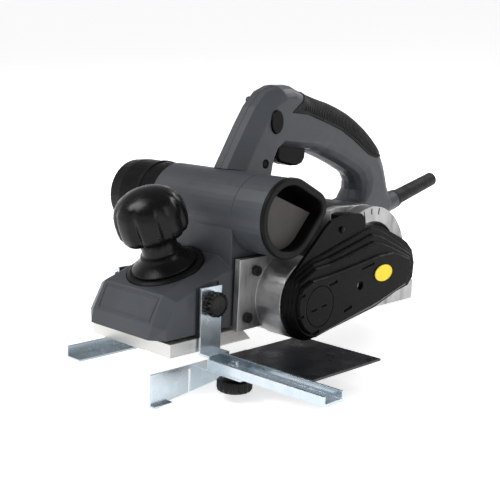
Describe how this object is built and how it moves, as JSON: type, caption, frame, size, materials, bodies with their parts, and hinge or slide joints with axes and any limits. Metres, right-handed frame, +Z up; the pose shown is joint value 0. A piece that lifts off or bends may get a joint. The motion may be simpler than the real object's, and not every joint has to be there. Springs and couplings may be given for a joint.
{
  "type": "electric hand planer",
  "caption": "Electric hand planer with belt drive, cross duct with hose adapter, ball depth knob, ribbed loop handle and a bolted parallel guide.",
  "frame": {"origin": "on the sole plane, in the middle of the sole's width, 29 mm behind the front edge of the rear base", "axes": "+Z up from the sole, -Y towards the front (the direction of planing), +X to the belt side, which is the user's left"},
  "size_m": [0.2536, 0.4042, 0.2173],
  "materials": {
    "slate": "satin",
    "black": "satin",
    "rubber": "matte",
    "cast": "cast",
    "sole": "machined",
    "zinc": "zinc plated",
    "steel": "ground",
    "dark_steel": "blackened",
    "copper": "wound wire",
    "flap": "matte",
    "yellow": "gloss",
    "belt": "matte"
  },
  "bodies": {
    "machine": {"rear_base": "sole", "belt_case": "cast", "flange_screw_upper": "dark_steel", "flange_screw_lower": "dark_steel", "belt_cover": "black", "cover_badge": "yellow", "front_housing": "slate", "duct_outlet": "slate", "duct_rim": "black", "duct_baffle": "black", "duct_flap": "flap", "duct_adapter": "black", "motor_housing": "slate", "handle_left": "slate", "handle_right": "slate", "handle_grip": "rubber", "switch_body": "black", "trigger_spring": "steel", "cord_guard": "rubber", "depth_dial": "black", "depth_spring": "steel", "brush_holder_front": "copper", "brush_holder_rear": "copper", "drum_bearing_right": "steel", "drum_bearing_left": "steel", "drive_belt": "belt", "motor_bearing_right": "steel", "motor_bearing_left": "steel", "stator": "dark_steel", "guide_bracket": "zinc", "guide_plate": "dark_steel", "rail_bracket": "zinc", "side_rail": "zinc", "rail_rivet": "zinc"},
    "rotor": {"motor_shaft": "steel", "armature_core": "copper", "commutator": "copper", "cooling_fan": "black", "drive_pulley": "steel"},
    "drum": {"cutter_drum": "cast", "blade_front": "steel", "blade_rear": "steel", "blade_clamp_front": "cast", "blade_clamp_rear": "cast", "driven_pulley": "cast"},
    "depth_control": {"depth_knob": "black", "depth_spindle": "steel"},
    "shoe": {"front_shoe": "sole"},
    "switch_trigger": {"trigger": "black"},
    "lock": {"lock_button": "black"},
    "fence": {"guide_fence": "zinc", "fence_bolt": "zinc"},
    "fence_nut": {"fence_knob": "black"},
    "bracket_screw": {"bracket_knob": "black"},
    "rail_screw": {"rail_knob": "black"}
  },
  "joints": [
    {"name": "motor_spin", "type": "hinge", "parent": "machine", "child": "rotor", "pos_m": [0, 0.056, 0.045], "axis": [1, 0, 0], "continuous": true},
    {"name": "drum_spin", "type": "hinge", "parent": "machine", "child": "drum", "pos_m": [0, -0.0345, 0.028], "axis": [1, 0, 0], "continuous": true},
    {"name": "depth_turn", "type": "hinge", "parent": "machine", "child": "depth_control", "pos_m": [0, -0.11, 0.052], "axis": [0, -0.3746, 0.9272], "range_deg": [0, 300]},
    {"name": "shoe_lift", "type": "slide", "parent": "machine", "child": "shoe", "axis": [0, -0.3746, 0.9272], "range_m": [0, 0.0025], "deforming": ["depth_spring"]},
    {"name": "trigger_pull", "type": "slide", "parent": "machine", "child": "switch_trigger", "axis": [0, 0, 1], "range_m": [0, 0.0025], "stiffness_N_per_m": 1500, "springref_m": -0.0005, "deforming": ["trigger_spring"]},
    {"name": "lock_press", "type": "slide", "parent": "machine", "child": "lock", "axis": [-1, 0, 0], "range_m": [0, 0.003], "stiffness_N_per_m": 1200, "springref_m": -0.0005},
    {"name": "fence_slide", "type": "slide", "parent": "machine", "child": "fence", "axis": [1, 0, 0], "range_m": [0, 0.07]},
    {"name": "fence_nut_turn", "type": "hinge", "parent": "fence", "child": "fence_nut", "pos_m": [0.07, -0.1075, -0.012], "axis": [0, 0, 1], "range_deg": [0, 360]},
    {"name": "bracket_screw_turn", "type": "hinge", "parent": "machine", "child": "bracket_screw", "pos_m": [0.046, -0.1075, 0.034], "axis": [1, 0, 0], "range_deg": [0, 360]},
    {"name": "rail_screw_turn", "type": "hinge", "parent": "machine", "child": "rail_screw", "pos_m": [-0.046, -0.1075, 0.034], "axis": [-1, 0, 0], "range_deg": [0, 360]}
  ],
  "couplings": [
    {"joint": "drum_spin", "follows": "motor_spin", "ratio": 0.66667},
    {"joint": "depth_turn", "follows": "shoe_lift", "rad_per_m": 2094.4}
  ]
}
